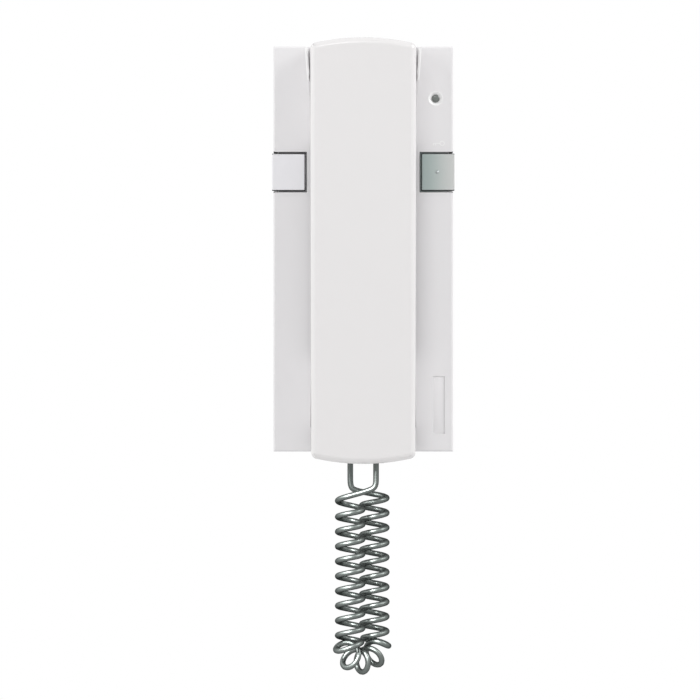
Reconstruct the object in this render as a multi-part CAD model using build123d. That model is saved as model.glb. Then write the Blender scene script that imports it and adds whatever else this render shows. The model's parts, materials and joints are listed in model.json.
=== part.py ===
from build123d import *
import math
import os

# A wall telephone for a door-entry system: a flat wall unit, a handset lying in a cradle
# trough down its middle, and a curly cord that hangs folded in two below both.
# X runs to the right, Y into the wall and Z up, in millimetres.
# The origin is the middle of the wall plate's back face. A depth is measured from the wall
# towards the room, so depth d is the plane y = -d.

# Wall unit
wing_width = 18.25
unit_height = 205
unit_depth = 27
cover_wall = 2.2
cover_edge = 0.6
wall_gap = 0.6
overrun = 3
close_fit = 0.3
seat_gap = 0.3
running_gap = 0.06
small_sides = 12
large_sides = 24
tip_taper = 25

# Handset, in front view and in depth
handset_top = 106.5
handset_foot = 108.5
head_half_width = 26.8
waist_half_width = 25.7
foot_half_width = 26.3
waist_height = -13
end_rise = 3.2
end_corner = 3.2
handset_crown = 1.3
front_edge = 1.8
front_shell_depth = 12
grip_rear_depth = 12
finger_gap = 7
cup_depth = 19
shell_wall = 2
shell_draft = 3
ear_top_of_grip = 50
ear_cup_foot = 62
mouth_cup_head = -64
mouth_foot_of_grip = -52
mouth_cup_length = 26

# Cradle trough
trough_side_gap = 0.45
trough_depth = 17
ear_trough_foot = 53.5
mouth_trough_head = -56
scoop_width = 1.9
scoop_length = 24.5
scoop_depth = 21
scoop_middle_share = 0.35

# Wall plate
plate_thickness = 2.5
plate_rim = 1.8
plate_rim_depth = 6
window_half_width = 20
window_head = -8
window_foot = -36
box_screw_spacing = 83.5
wall_screw_radius = 2.2
tongue_width = 9
tongue_thickness = 1.6
tongue_depth = 12
tongue_top_place = 24
tongue_foot_place = 17

# Circuit board and what stands on it
board_back = 6.5
board_thickness = 1.6
board_side_gap = 2.3
board_head_gap = 5.5
board_foot_gap = 3.5
board_slot_margin = 2
driver_hole_half_width = 5
post_radius = 3.4
post_inset = 5
post_head_inset = 7
post_foot_inset = 13
board_screw_radius = 1.3
board_screw_head_radius = 2.7
board_screw_head = 1.7
board_screw_length = 4.3
screw_slot = 0.8
terminal_count = 4
terminal_pitch = 6
terminal_foot = -5
terminal_height = 9
terminal_depth = 10
terminal_wire_hole = 3
terminal_screw_radius = 1.6
terminal_screw_sunk = 1
terminal_screw_length = 5
sounder_radius = 14
sounder_height = 22
sounder_depth = 12.6
sounder_port_depth = 3.2
sounder_port_radius = 2.2
capacitor_radius = 4
capacitor_depth = 11
capacitor_places = ((24, 24), (-24, 30))
chip_size = 10
chip_depth = 2.2
chip_x = -14
chip_height = 70
chip_pin_count = 4
chip_pin_width = 1
chip_pin_reach = 1.4
chip_pin_depth = 0.9

# Push buttons in the two wings
button_inner_gap = 2.15
button_proud_side = 0.7
button_proud_front = 0.7
button_foot = 29.6
button_head = 48.3
button_wall = 1.8
button_skirt_depth = 14
button_gap = 0.7
button_travel = 1.5
button_lip = 1.2
button_edge = 0.4
stem_half_width = 2.2
dot_radius = 0.75
dot_height = 0.35
switch_size = 7
switch_depth = 4.2
plunger_half_width = 1.6
plunger_sunk = 3

# Light in the right wing
led_from_side = 8.9
led_height = 76.2
led_radius = 1.5
led_length = 5.2
lens_radius = 1.9
lens_sunk = 0.6
lens_flange_radius = 2.9
lens_flange = 1
countersink_radius = 3.6
countersink_depth = 1.3

# Recess for a name plate, left bare
plate_recess_from_side = 4.4
plate_recess_from_foot = 8.9
plate_recess_width = 5.8
plate_recess_height = 29.1
plate_recess_depth = 0.5

# Sound slots behind the handset
sound_slot_count = 5
sound_slot_width = 1.6
sound_slot_half_length = 9
sound_slot_pitch = 4

# Cradle hook: a lever on a pin whose finger reaches through the trough's floor
hook_pin_height = 88
hook_pin_depth = 11.4
hook_pin_radius = 1
hook_hub_radius = 2.4
hook_half_width = 3.5
hook_arm = 1.8
hook_finger_height = 66
hook_finger_length = 7
hook_nose_share = 0.25
hook_finger_tip = 18.7
hook_tail = 6
hook_slot_gap = 0.8
hook_ear_thickness = 1.8
hook_ear_margin = 1.6
hook_spring_height = 72
hook_spring_radius = 1.9
hook_spring_bore = 1.4
hook_switch_width = 7
hook_switch_height = 6.5
hook_switch_depth = 1.2
hook_button_radius = 0.9
hook_button_depth = 0.3

# Ringer volume switch on the underside
volume_x = 28
volume_half_width = 7
volume_height = 5
volume_depth = 6.4
volume_rise = 5
volume_travel = 4
knob_width = 3.6
knob_thickness = 2.6
knob_sunk = 0.2
knob_rib = 0.5
knob_rib_count = 3

# Cover screw from below into a lug on the wall plate
cover_screw_x = -30
cover_screw_depth = 9.4
cover_screw_radius = 1.5
cover_screw_head_radius = 2.8
cover_screw_head = 1.6
cover_screw_length = 7.5
lug_half_width = 4
lug_height = 7
lug_margin = 2.2

# Cord sockets and plugs
plug_width = 7.7
plug_depth = 6.6
plug_length = 12
plug_in_base = 8
plug_gap = 0.2
plug_latch_width = 3.2
plug_latch_depth = 1
plug_latch_length = 7
socket_wall = 1.2
handset_socket_step = 1.5
contact_count = 4
contact_pitch = 1.25
contact_width = 0.6
contact_depth = 0.5
contact_length = 5
base_socket_top_wall = 1.2

# Receiver and microphone in the handset
receiver_radius = 18
receiver_height = 82.5
receiver_rim = 3
magnet_radius = 11
magnet_depth = 9
gasket_depth = 1.2
gasket_width = 3
ear_slot_count = 5
ear_slot_width = 1.6
ear_slot_pitch = 4.4
ear_slot_half_length = 9
ear_slot_step = 1.6
microphone_radius = 4.9
microphone_depth = 6
boot_wall = 1.4
mouth_slot_count = 3
mouth_slot_half_length = 5
handset_screw_heights = (34, -40)
handset_screw_radius = 1.4
handset_screw_head_radius = 2.7
handset_screw_head = 1.8
handset_screw_bite = 3.8
boss_radius = 4

# Curly cord: one wire wound right-handed on a line that goes down one leg, round and up the other
wire_diameter = 2.9
cord_sides = 4
curl_radius = 6.4
curl_pitch = 7.5
curl_count = 24
leg_middle_x = -0.5
leg_half_spacing = 6.1
base_leg_depth = 24
handset_plug_under_parting = 5.1
fan_height = -198.8
fan_radius = 10
fan_curl_radius = 5.1
fan_half_turns = 2.5
fan_ease_turns = 0.6
fan_lead_turns = 0.4
fan_blend_turns = 1.4
fan_overlap_turns = 0.7
rise_ease_turns = 1
leg_height_step = 1.9
base_tail_x = -6.55
handset_tail_x = 6.45
tail_bend_radius = 4.4
gap_steps_per_turn = 48

half_width = head_half_width + trough_side_gap + wing_width
half_height = unit_height / 2
grip_depth = unit_depth + finger_gap
parting_depth = grip_depth + grip_rear_depth
handset_depth = parting_depth + front_shell_depth
mouth_cup_foot = mouth_cup_head - mouth_cup_length
microphone_height = (mouth_cup_foot + mouth_cup_head) / 2
scoop_foot = half_height - scoop_length
board_front = board_back + board_thickness
board_half_width = half_width - cover_wall - board_side_gap
board_head = half_height - board_head_gap
board_foot = -half_height + board_foot_gap
button_inner = head_half_width + trough_side_gap + button_inner_gap
led_x = half_width - led_from_side
volume_foot = -half_height + volume_rise
handset_leg_depth = parting_depth - handset_plug_under_parting - curl_radius
inner_depth = unit_depth - cover_wall
trough_floor = trough_depth - cover_wall
wire_radius = wire_diameter / 2


def face_at(depth):
    """A plane at a depth, seen from the room: its x is X, its y is Z, and it looks at the room."""
    return Plane(origin=(0, -depth, 0), x_dir=(1, 0, 0), z_dir=(0, -1, 0))


def back_at(depth):
    """The same plane looking at the wall, for forms that narrow towards it."""
    return Plane(origin=(0, -depth, 0), x_dir=(-1, 0, 0), z_dir=(0, 1, 0))


def slab(left, right, foot, head, back, front):
    """A block between two x, two heights and two depths."""
    middle = Pos((left + right) / 2, -(back + front) / 2, (foot + head) / 2)
    return middle * Box(right - left, front - back, head - foot)


def rod(x, height, radius, back, front):
    """A round bar that stands out from the wall."""
    return extrude(face_at(back) * Pos(x, height) * Circle(radius), amount=front - back)


def peg(x, height, radius, back, front, sides=small_sides):
    """A bar hidden inside the case, with flats for its round."""
    section = RegularPolygon(radius, sides)
    return extrude(face_at(back) * Pos(x, height) * section, amount=front - back)


def upright_peg(x, depth, radius, foot, head):
    """The same along Z."""
    return Pos(x, -depth, foot) * extrude(RegularPolygon(radius, small_sides), amount=head - foot)


def across(points, left, right):
    """A prism along X from points given as (depth, height)."""
    side = Plane(origin=(left, 0, 0), x_dir=(0, -1, 0), z_dir=(-1, 0, 0))
    return extrude(side * make_face(Polyline(*points, close=True)), amount=left - right)


def handset_outline(grow):
    """The handset in front view: two bowed ends and slightly waisted sides."""
    head = head_half_width + grow
    waist = waist_half_width + grow
    foot = foot_half_width + grow
    top = handset_top + grow
    bottom = -handset_foot - grow
    shoulder = top - end_rise
    heel = bottom + end_rise
    lines = [
        ThreePointArc((-head, shoulder), (0, top), (head, shoulder)),
        ThreePointArc((head, shoulder), (waist, waist_height), (foot, heel)),
        ThreePointArc((foot, heel), (0, bottom), (-foot, heel)),
        ThreePointArc((-foot, heel), (-waist, waist_height), (-head, shoulder)),
    ]
    outline = make_face(lines)
    corner = end_corner + grow
    return fillet(outline.vertices(), corner) if corner > end_corner / 2 else outline


def front_form(inset):
    """The handset's front half: a crowned face, eased all round on the outside."""
    block = extrude(face_at(parting_depth) * handset_outline(-inset), amount=front_shell_depth)
    front = handset_depth - inset
    side = front - handset_crown
    wide = head_half_width
    crown = make_face([
        ThreePointArc((-wide, -side), (0, -front), (wide, -side)),
        Polyline((wide, -side), (wide, 0), (-wide, 0), (-wide, -side)),
    ])
    tall = handset_top + handset_foot + overrun
    block &= Pos(0, 0, -handset_foot - overrun / 2) * extrude(crown, amount=tall)
    face = block.faces().sort_by(Axis.Y)[0]
    return block if inset else chamfer(face.edges(), front_edge)


def side_profile(inset):
    """The back of the handset from the side, as (depth, height): mouth cup, grip and ear cup."""
    grip = grip_depth + inset
    cup = cup_depth + inset
    return [
        (parting_depth, -handset_foot - overrun),
        (grip, -handset_foot - overrun),
        (grip, mouth_cup_foot + inset),
        (cup, mouth_cup_foot + inset),
        (cup, mouth_cup_head - inset),
        (grip, mouth_foot_of_grip - inset),
        (grip, ear_top_of_grip + inset),
        (cup, ear_cup_foot + inset),
        (cup, handset_top + overrun),
        (parting_depth, handset_top + overrun),
    ]


def rear_form(inset):
    """The handset's back half: the outline drafted towards the wall, cut to the side profile."""
    drafted = extrude(
        back_at(parting_depth) * handset_outline(-inset),
        amount=parting_depth - cup_depth,
        taper=shell_draft,
    )
    return drafted & across(side_profile(inset), -half_width, half_width)


def trough(zone_foot, zone_head, grow):
    """One end of the cradle trough, as wide as the handset and open towards the room."""
    outline = handset_outline(trough_side_gap + grow)
    height = unit_depth - trough_depth + grow + overrun
    prism = extrude(face_at(trough_depth - grow) * outline, amount=height)
    zone = slab(-half_width, half_width, zone_foot - grow, zone_head + grow, 0, unit_depth + overrun)
    return prism & zone


def scoop(side, grow):
    """The flared mouth of the ear trough on one side, which widens towards the unit's top."""
    inner = waist_half_width
    root = head_half_width + trough_side_gap + grow
    tip = head_half_width + scoop_width + grow
    top = half_height + overrun
    middle = (scoop_foot + half_height) / 2
    foot = scoop_foot - grow
    belly = root + (tip - root) * scoop_middle_share
    shape = make_face([
        Polyline((inner, foot), (root, foot)),
        ThreePointArc((root, foot), (belly, middle), (tip, half_height)),
        Polyline((tip, half_height), (tip, top), (inner, top), (inner, foot)),
    ])
    depth = scoop_depth - grow
    cut = extrude(face_at(depth) * shape, amount=unit_depth - depth + overrun)
    return cut if side > 0 else mirror(cut, about=Plane.YZ)


def trough_ledge():
    return mouth_cup_foot - seat_gap


def plug_box(x, depth, foot, head, grow):
    """The space of a modular plug, or of its socket's mouth where it is grown."""
    side = plug_width / 2 + grow
    half = plug_depth / 2 + grow
    return slab(x - side, x + side, foot, head, depth - half, depth + half)


def base_tail_depth():
    return base_leg_depth - curl_radius


def handset_tail_depth():
    return handset_leg_depth + curl_radius


def button_opening(side):
    """The notch for a push button, open at the unit's side."""
    inner = button_inner - button_gap
    outer = half_width + overrun
    foot = button_foot - button_gap
    head = button_head + button_gap
    front = slab(inner, outer, foot, head, inner_depth - overrun, unit_depth + overrun)
    notch_back = button_skirt_depth - button_travel - button_gap
    flank = slab(half_width - cover_wall - overrun, outer, foot, head, notch_back, unit_depth)
    notch = front + flank
    return notch if side > 0 else mirror(notch, about=Plane.YZ)


def hook_ears():
    """Two ribs under the trough's floor, slotted for the hook's pin."""
    inner = hook_half_width + close_fit
    outer = inner + hook_ear_thickness
    low = hook_pin_height - hook_pin_radius - hook_ear_margin
    high = hook_pin_height + hook_pin_radius + hook_ear_margin
    back = hook_pin_depth - hook_pin_radius - hook_ear_margin
    ears = slab(inner, outer, low, high, back, trough_floor + cover_wall / 2)
    ears += slab(-outer, -inner, low, high, back, trough_floor + cover_wall / 2)
    low = hook_pin_height - hook_pin_radius
    high = hook_pin_height + hook_pin_radius
    return ears - slab(-outer, outer, low, high, back, hook_pin_depth + hook_pin_radius)


def front_cover():
    """The moulded front: a shell with the trough, the wings and every opening."""
    cover = slab(-half_width, half_width, -half_height, half_height, wall_gap, unit_depth)
    cover = chamfer(cover.edges().group_by(Axis.Y)[0], cover_edge)
    inside_x = half_width - cover_wall
    inside_z = half_height - cover_wall
    hollow = slab(-inside_x, inside_x, -inside_z, inside_z, 0, inner_depth)
    zones = [(ear_trough_foot, half_height + overrun), (trough_ledge(), mouth_trough_head)]
    for foot, head in zones:
        hollow -= trough(foot, head, cover_wall)
    for side in (-1, 1):
        hollow -= scoop(side, cover_wall)
    cover -= hollow
    for foot, head in zones:
        cover -= trough(foot, head, 0)
    for side in (-1, 1):
        cover -= scoop(side, 0)
        cover -= button_opening(side)
    cover += hook_ears()
    slot_side = hook_half_width + hook_slot_gap
    slot_foot = hook_finger_height - hook_finger_length / 2 - hook_slot_gap
    slot_head = hook_finger_height + hook_finger_length / 2 + hook_slot_gap
    slot_back = trough_floor - overrun / 2
    cover -= slab(-slot_side, slot_side, slot_foot, slot_head, slot_back, trough_depth + overrun)
    return cover - lens_hole() - plate_recess() - sound_slots() - underside_openings()


def lens_hole():
    """The lamp's hole in the right wing, countersunk from the front."""
    bore = lens_radius + running_gap
    hole = rod(led_x, led_height, bore, inner_depth - overrun, unit_depth + overrun)
    ring = face_at(unit_depth - countersink_depth) * Pos(led_x, led_height) * Circle(bore)
    rim = face_at(unit_depth) * Pos(led_x, led_height) * Circle(countersink_radius)
    return hole + loft([ring, rim])


def plate_recess():
    """The shallow recess for a name plate, low on the right wing."""
    right = half_width - plate_recess_from_side
    foot = -half_height + plate_recess_from_foot
    back = unit_depth - plate_recess_depth
    return slab(
        right - plate_recess_width, right, foot, foot + plate_recess_height,
        back, unit_depth + overrun,
    )


def sound_slots():
    """The ringer's slots, behind the handset's grip."""
    slots = []
    half = sound_slot_half_length
    for step in range(sound_slot_count):
        height = sounder_height + (step - (sound_slot_count - 1) / 2) * sound_slot_pitch
        low = height - sound_slot_width / 2
        high = height + sound_slot_width / 2
        slots.append(slab(-half, half, low, high, inner_depth - overrun, unit_depth + overrun))
    return slots


def underside_openings():
    """Openings in the cover's bottom wall: cord socket, volume knob and cover screw."""
    foot = -half_height - overrun
    head = -half_height + cover_wall + overrun / 2
    socket = base_socket_block(close_fit, foot, head)
    reach = knob_width / 2 + volume_travel + close_fit
    thick = knob_thickness / 2 + close_fit
    middle = volume_knob_depth()
    knob = slab(volume_x - reach, volume_x + reach, foot, head, middle - thick, middle + thick)
    screw = upright_peg(cover_screw_x, cover_screw_depth, cover_screw_radius + close_fit, foot, head)
    sink = cover_screw_head_radius + close_fit
    screw += upright_peg(cover_screw_x, cover_screw_depth, sink, foot, -half_height + cover_screw_head)
    return socket + knob + screw


def wall_plate():
    """The back plate: rim, screw holes, cable window, board posts, tongues and screw lug."""
    side = half_width - cover_wall - close_fit
    tall = half_height - cover_wall - close_fit
    plate = slab(-side, side, -tall, tall, 0, plate_rim_depth)
    inner_side = side - plate_rim
    inner_tall = tall - plate_rim
    plate -= slab(-inner_side, inner_side, -inner_tall, inner_tall, plate_thickness, plate_rim_depth)
    for x, height in post_places():
        plate += slab(
            x - post_radius, x + post_radius, height - post_radius, height + post_radius,
            plate_thickness / 2, board_back,
        )
        plate -= peg(x, height, board_screw_radius, plate_thickness / 2, board_back)
    for x, height in wall_screw_places():
        plate -= rod(x, height, wall_screw_radius, -overrun, unit_depth)
    window = window_half_width
    plate -= slab(-window, window, window_foot, window_head, -overrun, plate_rim_depth)
    for x, end in tongue_places():
        plate += snap_tongue(x, end, tall)
    lug_foot = -half_height + cover_wall + close_fit
    lug_head = lug_foot + lug_height
    plate += slab(
        cover_screw_x - lug_half_width, cover_screw_x + lug_half_width, lug_foot, lug_head,
        plate_thickness / 2, cover_screw_depth + lug_margin,
    )
    bore = upright_peg(cover_screw_x, cover_screw_depth, cover_screw_radius, -half_height, lug_head)
    return plate - bore


def wall_screw_places():
    return [(0, box_screw_spacing / 2), (0, -box_screw_spacing / 2)]


def post_places():
    """Two posts in opposite corners that carry the circuit board."""
    side = board_half_width - post_inset
    return [(-side, board_head - post_head_inset), (side, board_foot + post_foot_inset)]


def tongue_places():
    """The middles of the tongues in X, with 1 for the top edge and -1 for the bottom."""
    top = [(-tongue_top_place, 1), (tongue_top_place, 1)]
    foot = [(-tongue_foot_place, -1), (tongue_foot_place, -1)]
    return top + foot


def snap_tongue(x, end, tall):
    """A springy tongue that grips the cover's top or bottom wall from inside."""
    low, high = sorted((end * tall, end * (tall - tongue_thickness)))
    return slab(x - tongue_width / 2, x + tongue_width / 2, low, high, plate_thickness / 2, tongue_depth)


def circuit_board():
    """The board, cut away at the cable window, the wall screws, the tongues and the screw lug."""
    board = slab(-board_half_width, board_half_width, board_foot, board_head, board_back, board_front)
    back = board_back - overrun
    front = board_front + overrun
    side = window_half_width + board_slot_margin
    board -= slab(-side, side, window_foot - board_slot_margin, window_head, back, front)
    hole = driver_hole_half_width
    for x, height in wall_screw_places():
        board -= slab(x - hole, x + hole, height - hole, height + hole, back, front)
    for x, height in post_places():
        board -= peg(x, height, board_screw_radius + close_fit, back, front)
    tongue_side = tongue_width / 2 + close_fit * 2
    edge = half_height - cover_wall - close_fit - tongue_thickness - close_fit
    for x, end in tongue_places():
        low, high = sorted((end * edge, end * half_height))
        board -= slab(x - tongue_side, x + tongue_side, low, high, back, front)
    lug_side = lug_half_width + close_fit
    lug_head = -half_height + cover_wall + lug_height + close_fit * 2
    lug_left = cover_screw_x - lug_side
    return board - slab(lug_left, lug_left + 2 * lug_side, -half_height, lug_head, back, front)


def pan_screw(x, height, seat, radius, head_radius, head, length):
    """A slotted pan-head screw whose head sits on a depth and whose shank runs towards the wall."""
    screw = peg(x, height, radius, seat - length, seat)
    screw += peg(x, height, head_radius, seat, seat + head)
    slot = screw_slot / 2
    front = seat + head
    return screw - slab(
        x - head_radius, x + head_radius, height - slot, height + slot, front - head / 2, front,
    )


def board_screws():
    screws = []
    for x, height in post_places():
        screws.append(pan_screw(
            x, height, board_front, board_screw_radius - running_gap,
            board_screw_head_radius, board_screw_head, board_screw_length,
        ))
    return Compound(children=screws)


def terminal_places():
    start = -(terminal_count - 1) / 2 * terminal_pitch
    return [start + step * terminal_pitch for step in range(terminal_count)]


def terminal_block():
    """Screw terminals for the riser's wires, with their wire mouths towards the cable window."""
    half = terminal_count * terminal_pitch / 2
    head = terminal_foot + terminal_height
    top = board_front + terminal_depth
    block = slab(-half, half, terminal_foot, head, board_front, top)
    middle = terminal_foot + terminal_height / 2
    hole = terminal_wire_hole / 2
    low = board_front + terminal_screw_sunk
    for x in terminal_places():
        block -= slab(x - hole, x + hole, terminal_foot, middle, low, low + terminal_wire_hole)
        block -= peg(x, middle, terminal_screw_radius + running_gap, top - terminal_screw_length, top)
    return block


def terminal_screws():
    top = board_front + terminal_depth - terminal_screw_sunk
    middle = terminal_foot + terminal_height / 2
    bottom = board_front + terminal_depth - terminal_screw_length
    slot = screw_slot / 2
    reach = terminal_screw_radius
    screws = []
    for x in terminal_places():
        screw = peg(x, middle, terminal_screw_radius, bottom, top)
        screw -= slab(x - reach, x + reach, middle - slot, middle + slot, top - screw_slot, top)
        screws.append(screw)
    return Compound(children=screws)


def call_sounder():
    """The ringer: a round case with a sound port."""
    top = board_front + sounder_depth
    case = peg(0, sounder_height, sounder_radius, board_front, top, large_sides)
    return case - peg(0, sounder_height, sounder_port_radius, top - sounder_port_depth, top)


def capacitors():
    cans = []
    for x, height in capacitor_places:
        cans.append(peg(x, height, capacitor_radius, board_front, board_front + capacitor_depth))
    return Compound(children=cans)


def line_chip():
    """The speech circuit: a flat package with a row of pins on each side."""
    half = chip_size / 2
    foot = chip_height - half
    back = board_front + running_gap
    chip = slab(chip_x - half, chip_x + half, foot, foot + chip_size, back, board_front + chip_depth)
    pitch = chip_size / chip_pin_count
    reach = half + chip_pin_reach
    pin_front = board_front + chip_pin_depth
    for step in range(chip_pin_count):
        low = foot + pitch * (step + 1 / 2) - chip_pin_width / 2
        high = low + chip_pin_width
        chip += slab(chip_x - reach, chip_x + reach, low, high, board_front, pin_front)
    return chip


def button_middle():
    return (button_foot + button_head) / 2, (button_inner + half_width) / 2


def plunger_top():
    """Depth of the plunger's top, under the button's stem."""
    return board_front + switch_depth + button_travel + seat_gap


def push_button(side, with_dot):
    """A hollow cap that wraps round the unit's side, with a lip behind the cover and a stem."""
    outer = half_width + button_proud_side
    front = unit_depth + button_proud_front
    cap = slab(button_inner, outer, button_foot, button_head, button_skirt_depth, front)
    cap = chamfer(cap.edges().group_by(Axis.Y)[0], button_edge)
    inner = button_inner - overrun
    hollow_foot = button_foot + button_wall
    hollow_head = button_head - button_wall
    lip_front = inner_depth - close_fit
    lip_back = lip_front - button_lip
    skirt_inner = half_width - cover_wall - button_lip - button_gap
    cap -= slab(inner, outer - button_wall, hollow_foot, hollow_head, 0, front - button_wall)
    cap -= slab(inner, skirt_inner, button_foot - overrun, button_head + overrun, 0, lip_back)
    reach = button_gap + button_lip
    inside = half_width - cover_wall - close_fit
    lip = slab(
        button_inner - reach, inside, button_foot - reach, button_head + reach, lip_back, lip_front,
    )
    cap += lip - slab(button_inner + button_wall, outer, hollow_foot, hollow_head, 0, front)
    height, x = button_middle()
    cap += slab(
        x - stem_half_width, x + stem_half_width, height - stem_half_width, height + stem_half_width,
        plunger_top(), front - button_wall / 2,
    )
    if with_dot:
        cap += cone_tip(x, height, dot_radius, front - dot_height, front + dot_height)
    return cap if side > 0 else mirror(cap, about=Plane.YZ)


def cone_tip(x, height, radius, back, front):
    """A short round end that narrows towards the room."""
    foot = face_at(back) * Pos(x, height) * RegularPolygon(radius, small_sides)
    return extrude(foot, amount=front - back, taper=tip_taper)


def push_switch(side):
    """The switch under a button: a square case with a square bore for its plunger."""
    height, x = button_middle()
    half = switch_size / 2
    top = board_front + switch_depth
    case = slab(x - half, x + half, height - half, height + half, board_front, top)
    bore = plunger_half_width + running_gap
    case -= slab(x - bore, x + bore, height - bore, height + bore, top - plunger_sunk, top)
    return case if side > 0 else mirror(case, about=Plane.YZ)


def push_plunger(side):
    height, x = button_middle()
    top = board_front + switch_depth
    bottom = top - plunger_sunk + button_travel + seat_gap
    half = plunger_half_width
    pin = slab(x - half, x + half, height - half, height + half, bottom, plunger_top())
    return pin if side > 0 else mirror(pin, about=Plane.YZ)


def led():
    """The signal lamp on the board, with a tapered tip."""
    shoulder = board_front + led_length - led_radius
    bulb = peg(led_x, led_height, led_radius, board_front, shoulder)
    return bulb + cone_tip(led_x, led_height, led_radius, shoulder, shoulder + led_radius)


def led_lens():
    """A light pipe from the lamp to the countersunk ring in the wing."""
    back = board_front + led_length + seat_gap
    pipe = peg(led_x, led_height, lens_radius, back, unit_depth - lens_sunk, large_sides)
    flange_front = inner_depth - running_gap
    return pipe + peg(led_x, led_height, lens_flange_radius, flange_front - lens_flange, flange_front)


def hook_pin():
    reach = hook_half_width + close_fit + hook_ear_thickness
    bar = Plane(origin=(-reach, -hook_pin_depth, hook_pin_height), z_dir=(1, 0, 0))
    return extrude(bar * RegularPolygon(hook_pin_radius, small_sides), amount=2 * reach)


def hook_lever():
    """A rocker: a hub on the pin, an arm down to the finger and a short tail up to the switch."""
    hub_plane = Plane(origin=(-hook_half_width, -hook_pin_depth, hook_pin_height), z_dir=(1, 0, 0))
    lever = extrude(hub_plane * RegularPolygon(hook_hub_radius, small_sides), amount=2 * hook_half_width)
    finger_head = hook_finger_height + hook_finger_length / 2
    finger_foot = hook_finger_height - hook_finger_length / 2
    arm_back = hook_pin_depth - hook_arm / 2
    arm_front = hook_pin_depth + hook_arm / 2
    tail_head = hook_pin_height + hook_tail
    lever += slab(-hook_half_width, hook_half_width, finger_foot, tail_head, arm_back, arm_front)
    nose = hook_nose_share * hook_finger_length
    finger = [
        (arm_back, finger_foot),
        (hook_finger_tip, finger_foot + nose),
        (hook_finger_tip, finger_head - nose),
        (arm_back, finger_head),
    ]
    lever += across(finger, -hook_half_width, hook_half_width)
    bore = Plane(origin=(-half_width, -hook_pin_depth, hook_pin_height), z_dir=(1, 0, 0))
    return lever - extrude(bore * Circle(hook_pin_radius + running_gap), amount=2 * half_width)


def hook_spring():
    """The lever's return spring, as the sleeve that it fills between the board and the arm."""
    front = hook_pin_depth - hook_arm / 2 - running_gap
    spring = peg(0, hook_spring_height, hook_spring_radius, board_front, front)
    return spring - peg(0, hook_spring_height, hook_spring_bore, board_front, front)


def hook_switch():
    """The cradle switch on the board, with its button under the lever's tail."""
    half = hook_switch_width / 2
    middle = hook_pin_height + hook_tail - hook_button_radius
    low = middle - hook_switch_height / 2
    case = slab(-half, half, low, low + hook_switch_height, board_front, board_front + hook_switch_depth)
    top = board_front + hook_switch_depth
    return case + peg(0, middle, hook_button_radius, top, top + hook_button_depth)


def volume_knob_depth():
    return board_front + volume_depth / 2


def volume_switch():
    """A slide switch on the board, open below where its knob comes out."""
    back = board_front
    front = board_front + volume_depth
    foot = volume_foot
    left = volume_x - volume_half_width
    right = volume_x + volume_half_width
    case = slab(left, right, foot, foot + volume_height, back, front)
    reach = knob_width / 2 + volume_travel + close_fit
    thick = knob_thickness / 2 + running_gap
    middle = volume_knob_depth()
    deep = foot + volume_height / 2
    return case - slab(volume_x - reach, volume_x + reach, foot, deep, middle - thick, middle + thick)


def volume_slider():
    """The knob, ribbed underneath for a fingertip."""
    head = volume_foot + volume_height / 2 - running_gap
    foot = -half_height + knob_sunk
    half = knob_width / 2
    thick = knob_thickness / 2
    middle = volume_knob_depth()
    knob = slab(volume_x - half, volume_x + half, foot, head, middle - thick, middle + thick)
    pitch = knob_width / knob_rib_count
    for step in range(knob_rib_count - 1):
        x = volume_x - half + pitch * (step + 1)
        cut = knob_rib / 2
        knob -= slab(x - cut, x + cut, foot, foot + knob_rib, middle - thick, middle + thick)
    return knob


def cover_screw():
    """A pan-head screw from below, slotted across."""
    x = cover_screw_x
    depth = cover_screw_depth
    head = cover_screw_head_radius
    foot = -half_height
    seat = foot + cover_screw_head
    screw = upright_peg(x, depth, head, foot, seat)
    screw += upright_peg(x, depth, cover_screw_radius - running_gap, seat, seat + cover_screw_length)
    slot = screw_slot / 2
    return screw - slab(x - head, x + head, foot, foot + screw_slot, depth - slot, depth + slot)


def base_socket_head():
    return -half_height + plug_in_base + plug_gap + base_socket_top_wall


def base_socket_block(grow, foot, head):
    side = plug_width / 2 + plug_gap + socket_wall + grow
    front = base_tail_depth() + plug_depth / 2 + plug_gap + socket_wall + grow
    return slab(base_tail_x - side, base_tail_x + side, foot, head, board_front, front)


def base_socket():
    """The cord socket on the board's lower edge, its mouth in the unit's underside."""
    block = base_socket_block(0, -half_height, base_socket_head())
    mouth_head = -half_height + plug_in_base + plug_gap
    return block - plug_box(base_tail_x, base_tail_depth(), -half_height - overrun, mouth_head, plug_gap)


def modular_plug(x, depth, foot):
    """A modular plug: a body with its latch towards the wall and a row of contacts in front."""
    head = foot + plug_length
    plug = plug_box(x, depth, foot, head, 0)
    latch_back = depth - plug_depth / 2
    cut = plug_latch_depth / 2
    latch = plug_latch_width / 2
    latch_foot = head - plug_latch_length
    latch_front = latch_back + plug_latch_depth
    plug -= slab(x - latch - cut, x - latch, latch_foot, head, latch_back, latch_front)
    plug -= slab(x + latch, x + latch + cut, latch_foot, head, latch_back, latch_front)
    front = depth + plug_depth / 2
    for step in range(contact_count):
        place = x + (step - (contact_count - 1) / 2) * contact_pitch
        half = contact_width / 2
        plug -= slab(place - half, place + half, head - contact_length, head, front - contact_depth, front)
    return plug


def base_plug_foot():
    return -half_height + plug_in_base - plug_length


def handset_plug_foot():
    """The handset's plug stands level with the lower end's arc at its own place."""
    return -handset_foot + end_rise * (plug_width / foot_half_width) ** 2


def handset_socket_block(grow, foot, head):
    side = plug_width / 2 + plug_gap + socket_wall + grow
    half = plug_depth / 2 + plug_gap + socket_wall + grow
    middle = handset_tail_depth()
    return slab(handset_tail_x - side, handset_tail_x + side, foot, head, middle - half, middle + half)


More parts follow.
